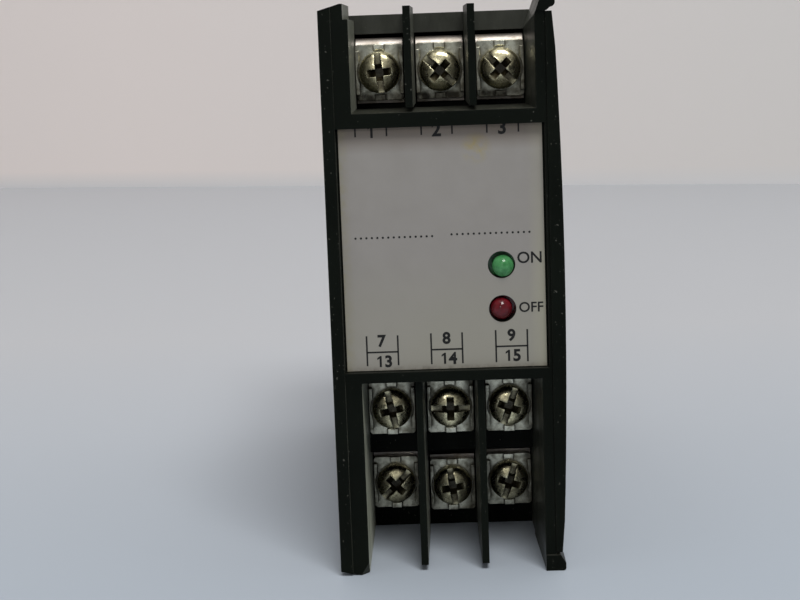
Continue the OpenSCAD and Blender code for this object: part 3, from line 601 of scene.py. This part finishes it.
class Print:
    """Thin flat shapes on the label, gathered in one mesh. Places are x and z in the part's frame."""

    def __init__(self, plane):
        self.plane = plane
        self.shapes = bmesh.new()

    def bar(self, x0, x1, z0, z1):
        """A filled rectangle."""
        made = bmesh.ops.create_cube(self.shapes, size=1.0)
        place = Vector(((x0 + x1) / 2, self.plane - INK_T / 2, (z0 + z1) / 2))
        size = Matrix.Diagonal((abs(x1 - x0), INK_T, abs(z1 - z0), 1.0))
        bmesh.ops.transform(self.shapes, matrix=Matrix.Translation(place) @ size, verts=made["verts"])

    def upright(self, x, z0, z1):
        self.bar(x - LINE_W / 2, x + LINE_W / 2, z0, z1)

    def level(self, x0, x1, z):
        self.bar(x0, x1, z - LINE_W / 2, z + LINE_W / 2)

    def dot(self, x, z, radius):
        turn = Matrix.Translation((x, self.plane - INK_T / 2, z)) @ Matrix.Rotation(math.pi / 2, 4, "X")
        bmesh.ops.create_cone(self.shapes, cap_ends=True, segments=DOT_SIDES, radius1=radius, radius2=radius,
                              depth=INK_T, matrix=turn)

    def shape(self, points):
        """A filled outline of x and z places."""
        corners = [self.shapes.verts.new((x, self.plane, z)) for x, z in points]
        face = self.shapes.faces.new(corners)
        made = bmesh.ops.extrude_face_region(self.shapes, geom=[face])
        front = [item for item in made["geom"] if isinstance(item, bmesh.types.BMVert)]
        bmesh.ops.translate(self.shapes, vec=(0.0, -INK_T, 0.0), verts=front)

    def number(self, text, x, z, height, bold):
        """A number centred at x with its foot at z. The 1 has a flag, which the built-in letters lack."""
        for i, digit in enumerate(text):
            place = x + (i - (len(text) - 1) / 2) * DIGIT_PITCH * height
            if digit == "1":
                self.shape([(place + u * height, z + v * height) for u, v in ONE])
            else:
                self.words(digit, place, z, height, bold)

    def words(self, text, x, z, height, bold):
        """Text centred at x with its foot at z. Bold is how far the strokes are widened."""
        curve = bpy.data.curves.new("words", "FONT")
        curve.body = text
        curve.size = TYPE_SIZE
        curve.resolution_u = 4
        typed = bpy.data.objects.new("words", curve)
        scene.collection.objects.link(typed)
        bpy.context.view_layer.update()
        mesh = bpy.data.meshes.new_from_object(typed)
        low = Vector([min(v.co[i] for v in mesh.vertices) for i in range(3)])
        high = Vector([max(v.co[i] for v in mesh.vertices) for i in range(3)])
        bpy.data.meshes.remove(mesh)
        share = height / (high.y - low.y)
        curve.extrude = INK_T / 2 / share
        curve.offset = bold / share
        bpy.context.view_layer.update()
        mesh = bpy.data.meshes.new_from_object(typed)
        centre = Matrix.Translation((-(low.x + high.x) / 2, -low.y, 0.0))
        turn = Matrix.Rotation(math.pi / 2, 4, "X") @ Matrix.Scale(share, 4)
        place = Matrix.Translation((x, self.plane - INK_T / 2, z))
        mesh.transform(place @ turn @ centre)
        self.shapes.from_mesh(mesh)
        bpy.data.meshes.remove(mesh)
        bpy.data.objects.remove(typed)
        bpy.data.curves.remove(curve)

    def finish(self, name, material):
        bmesh.ops.recalc_face_normals(self.shapes, faces=self.shapes.faces)
        mesh = bpy.data.meshes.new(name)
        self.shapes.to_mesh(mesh)
        self.shapes.free()
        return add_piece(name, mesh, material, "case")


# what is printed on the label, in millimetres
TOP_TICKS = (-13.0, -8.3, -3.1, 1.5, 6.7, 11.4)
TOP_NUMBERS = (("1", -10.73), ("2", -0.85), ("3", 8.95))
TOP_TICK_Z = 67.8
TICK_ROOM = 0.1
TOP_NUMBER_Z = 67.6
TOP_NUMBER_H = 1.95
TOP_NUMBER_BOLD = 0.09

# each frame: its sides and its level line, then the numbers above and below the line with their places
FRAMES = (
    (-12.5, -7.75, 34.95, "7", -10.19, 35.85, "13", -9.95, 32.65),
    (-2.67, 2.08, 35.1, "8", -0.31, 36.0, "14", -0.11, 32.85),
    (7.2, 12.0, 35.28, "9", 9.59, 36.15, "15", 9.67, 33.0),
)
FRAME_FOOT = 32.85
FRAME_RISE = 2.55
NUMBER_H = 1.72
NUMBER_BOLD = 0.085

# step from digit to digit and the outline of a 1, as shares of the height
DIGIT_PITCH = 0.8
ONE = ((0.0, 0.0), (0.19, 0.0), (0.19, 1.0), (0.06, 1.0), (-0.2, 0.82), (-0.2, 0.65), (0.0, 0.77))

# two dotted fields, from end to end
DOT_ROW_Z = 52.7
DOT_ROWS = ((-13.57, -1.98), (0.95, 12.69))
DOTS = 15
DOT_R = 0.17
DOT_TILT = 0.012

# each word: its middle, its foot, its height and how far its strokes are widened
LAMP_WORDS = (("ON", 12.6, 48.0, 1.7, 0.035), ("OFF", 12.7, 40.5, 1.5, 0.03))


def print_label(ink):
    """Terminal numbers with their frames, two dotted fields and the lamps' words."""
    label_low, label_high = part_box("label_plate")
    plane = label_low.y
    lines = Print(plane)
    for x in TOP_TICKS:
        lines.upright(x * MM, TOP_TICK_Z * MM, label_high.z - TICK_ROOM * MM)
    for x0, x1, z, *_ in FRAMES:
        for x in (x0, x1):
            lines.upright(x * MM, FRAME_FOOT * MM, (z + FRAME_RISE) * MM)
        lines.level(x0 * MM, x1 * MM, z * MM)
    lines.finish("print_lines", ink)
    dots = Print(plane)
    for x0, x1 in DOT_ROWS:
        for i in range(DOTS):
            x = x0 + (x1 - x0) * i / (DOTS - 1)
            dots.dot(x * MM, (DOT_ROW_Z + DOT_TILT * x0) * MM, DOT_R * MM)
    dots.finish("print_dots", ink)
    numbers = Print(plane)
    for text, x in TOP_NUMBERS:
        numbers.number(text, x * MM, TOP_NUMBER_Z * MM, TOP_NUMBER_H * MM, TOP_NUMBER_BOLD * MM)
    for _, _, _, upper, upper_x, upper_z, lower, lower_x, lower_z in FRAMES:
        numbers.number(upper, upper_x * MM, upper_z * MM, NUMBER_H * MM, NUMBER_BOLD * MM)
        numbers.number(lower, lower_x * MM, lower_z * MM, NUMBER_H * MM, NUMBER_BOLD * MM)
    numbers.finish("print_numbers", ink)
    words = Print(plane)
    for text, x, z, height, bold in LAMP_WORDS:
        words.words(text, x * MM, z * MM, height * MM, bold * MM)
    words.finish("print_lamp_words", ink)


# the latch's spring: turns, how many are closed, steps round each, sides and radius of the wire
SPRING_TURNS = 7
SPRING_CLOSED = 0.75
SPRING_STEPS = 28
SPRING_SIDES = 10
SPRING_WIRE = 0.3 * MM


def wind_spring(metal):
    """The latch's spring: a coil with closed end turns, put in place of the spring part, which it hides."""
    low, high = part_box("latch_spring")
    wire = SPRING_WIRE
    centre = (low + high) / 2
    radius = (high.x - low.x) / 2 - wire
    count = SPRING_TURNS * SPRING_STEPS
    closed = SPRING_CLOSED / SPRING_TURNS
    shapes = bmesh.new()
    rings = []
    for i in range(count + 1):
        turn = 2 * math.pi * i / SPRING_STEPS
        share = i / count
        rise = min(1.0, max(0.0, (share - closed * 0.5) / (1 - closed)))
        z = low.z + wire + (high.z - low.z - 2 * wire) * rise
        out = Vector((math.cos(turn), math.sin(turn), 0.0))
        ring = []
        for j in range(SPRING_SIDES):
            angle = 2 * math.pi * j / SPRING_SIDES
            place = Vector((centre.x, centre.y, z)) + out * (radius + wire * math.cos(angle))
            place.z += wire * math.sin(angle)
            ring.append(shapes.verts.new(place))
        rings.append(ring)
    for first, second in zip(rings, rings[1:]):
        for j in range(SPRING_SIDES):
            k = (j + 1) % SPRING_SIDES
            shapes.faces.new((first[j], second[j], second[k], first[k]))
    shapes.faces.new(rings[0])
    shapes.faces.new(list(reversed(rings[-1])))
    bmesh.ops.recalc_face_normals(shapes, faces=shapes.faces)
    for face in shapes.faces:
        face.smooth = True
    mesh = bpy.data.meshes.new("latch_coil")
    shapes.to_mesh(mesh)
    shapes.free()
    coil = add_piece("latch_coil", mesh, metal, "case")
    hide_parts("latch_spring")
    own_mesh(coil)


def finish_nodes():
    """Materials for the CAD nodes and softened edges for the small ones."""
    black = moulded_plastic("black_case", (0.0036, 0.0047, 0.0034), (0.058, 0.060, 0.048))
    cover = moulded_plastic("black_cover", (0.0036, 0.0047, 0.0034), (0.050, 0.052, 0.043))
    latch = moulded_plastic("latch", (0.0060, 0.0070, 0.0060), (0.046, 0.048, 0.042))
    low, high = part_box("label_plate")
    foil = printed_foil("label", low, high, (STAIN_X, low.y, STAIN_Z))
    tin = plated_metal("strip_metal", (0.43, 0.39, 0.355), (0.24, 0.205, 0.145), 0.42, 0.56)
    # the clamp washers carry painted shade at their sides and below the top row's screws
    plate = plated_metal("clamp_metal", (0.66, 0.655, 0.54), (0.14, 0.125, 0.08), 0.26, 0.44, 700,
                         painted_shade_mask=washer_painted_shade)
    nickel = plated_metal("screw_metal", (0.80, 0.745, 0.49), (0.13, 0.105, 0.055), 0.18, 0.46, 1100)
    wire = plated_metal("tinned_wire", (0.62, 0.62, 0.60), (0.32, 0.30, 0.27), 0.2, 0.4)
    dress(["housing"], black)
    dress(["side_cover"], cover)
    dress(["rail_latch"], latch)
    dress(["label_plate"], foil)
    strips = ["strip_" + n for n in TERMINALS]
    clamps = ["clamp_" + n for n in TERMINALS]
    screws = ["screw_" + n for n in TERMINALS]
    dress(strips, tin)
    dress(clamps, plate)
    dress(screws, nickel)
    dress(["link_wires"], wire)
    dress(["led_green"], lamp_lens("green_lamp", (0.045, 0.24, 0.07), (0.12, 0.42, 0.16)))
    dress(["led_red"], lamp_lens("red_lamp", (0.10, 0.003, 0.007), (0.19, 0.010, 0.018)))
    dress(["pcb"], varnished_board("board"))
    dress(["transformer_core"], stacked_core("core"))
    dress(["transformer_coil"], taped_coil("coil"))
    dress(["output_relay"], sleeved("relay_case", (0.03, 0.05, 0.15), (0.05, 0.08, 0.20)))
    dress(["capacitor"], sleeved("capacitor", (0.012, 0.012, 0.02), (0.03, 0.03, 0.045)))
    soften(["rail_latch"], LATCH_ROUND)
    soften(screws, SCREW_ROUND)
    soften(clamps, CLAMP_ROUND)
    soften(strips, STRIP_ROUND)
    spring_wire = plated_metal("spring", (0.5, 0.5, 0.49), (0.25, 0.23, 0.2), 0.2, 0.4)
    dress(["latch_spring"], spring_wire)
    return spring_wire


make_camera()
make_room()
spring_metal = finish_nodes()
print_label(printing_ink("print_ink"))
wind_spring(spring_metal)
